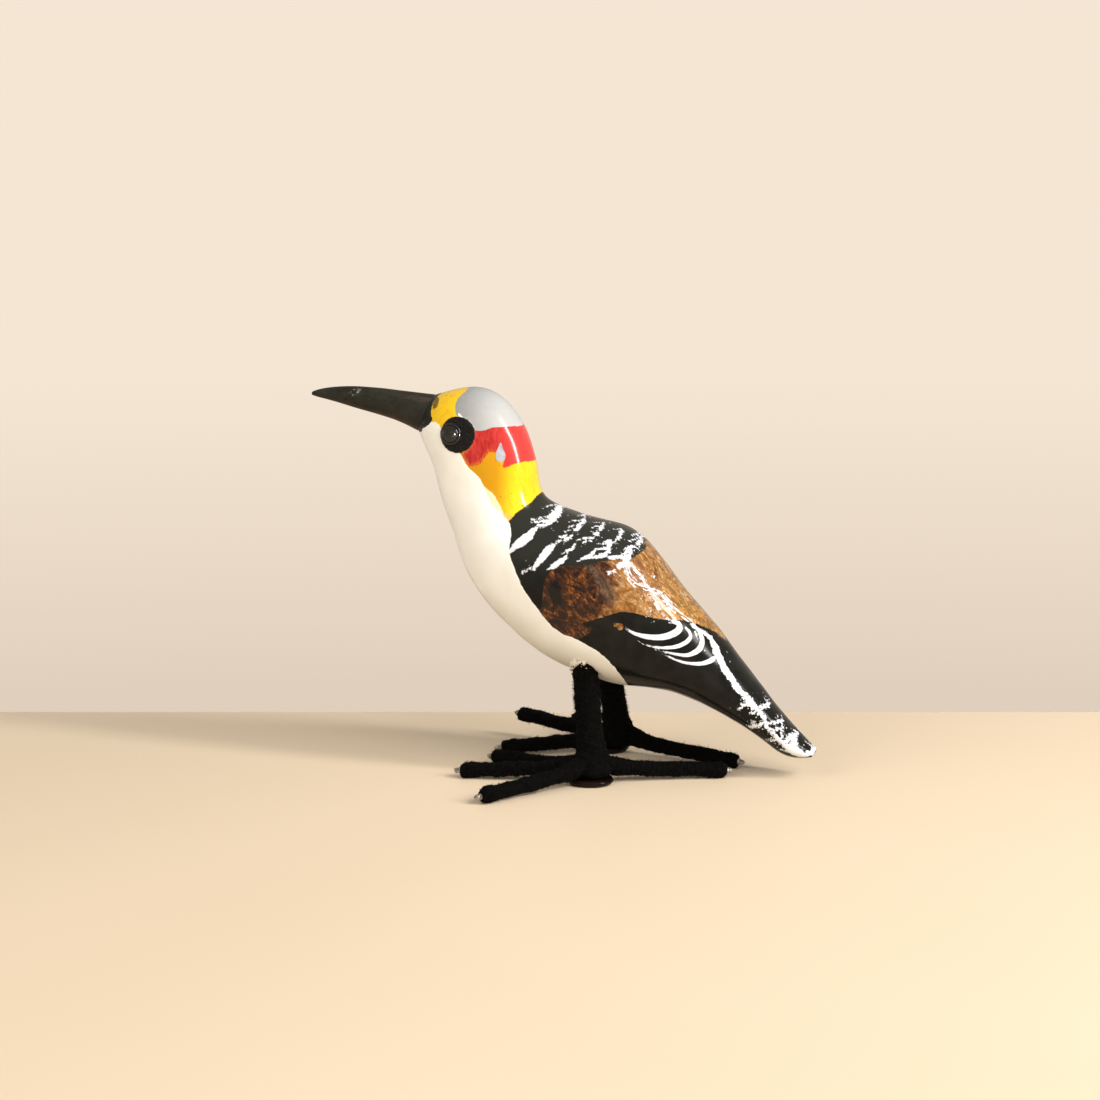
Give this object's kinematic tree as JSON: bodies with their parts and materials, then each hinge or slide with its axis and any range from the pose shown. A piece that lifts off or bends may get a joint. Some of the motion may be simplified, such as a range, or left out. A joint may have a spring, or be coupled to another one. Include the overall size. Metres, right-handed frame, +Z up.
{
  "type": "bird figurine",
  "caption": "Carved and painted wooden bird with a long straight beak, standing on thread-wound wire legs and spread toes.",
  "frame": {"origin": "middle of the bounding box in X and Y, on the surface it stands on", "axes": "+Z up, the beak points along -X, the bird's left side faces -Y"},
  "size_m": [0.1024, 0.0697, 0.0769],
  "materials": {
    "painted_wood": "hand-painted and bare figured wood under gloss lacquer",
    "black_lacquer": "gloss black lacquer",
    "black_bead": "polished",
    "bare_wire": "bare drawn wire",
    "black_thread": "wound fuzzy thread",
    "dark_resin": "gloss"
  },
  "bodies": {
    "root": {"body": "painted_wood", "beak": "black_lacquer", "left_eye": "black_bead", "right_eye": "black_bead", "left_leg_sleeve": "black_thread", "right_leg_sleeve": "black_thread", "left_foot_pad": "dark_resin", "right_foot_pad": "dark_resin", "left_inner_toe_sleeve": "black_thread", "left_inner_toe_wire": "bare_wire", "left_middle_toe_sleeve": "black_thread", "left_middle_toe_wire": "bare_wire", "left_outer_toe_sleeve": "black_thread", "left_outer_toe_wire": "bare_wire", "left_hind_toe_sleeve": "black_thread", "left_hind_toe_wire": "bare_wire", "right_inner_toe_sleeve": "black_thread", "right_inner_toe_wire": "bare_wire", "right_middle_toe_sleeve": "black_thread", "right_middle_toe_wire": "bare_wire", "right_outer_toe_sleeve": "black_thread", "right_outer_toe_wire": "bare_wire", "right_hind_toe_sleeve": "black_thread", "right_hind_toe_wire": "bare_wire"}
  },
  "joints": []
}
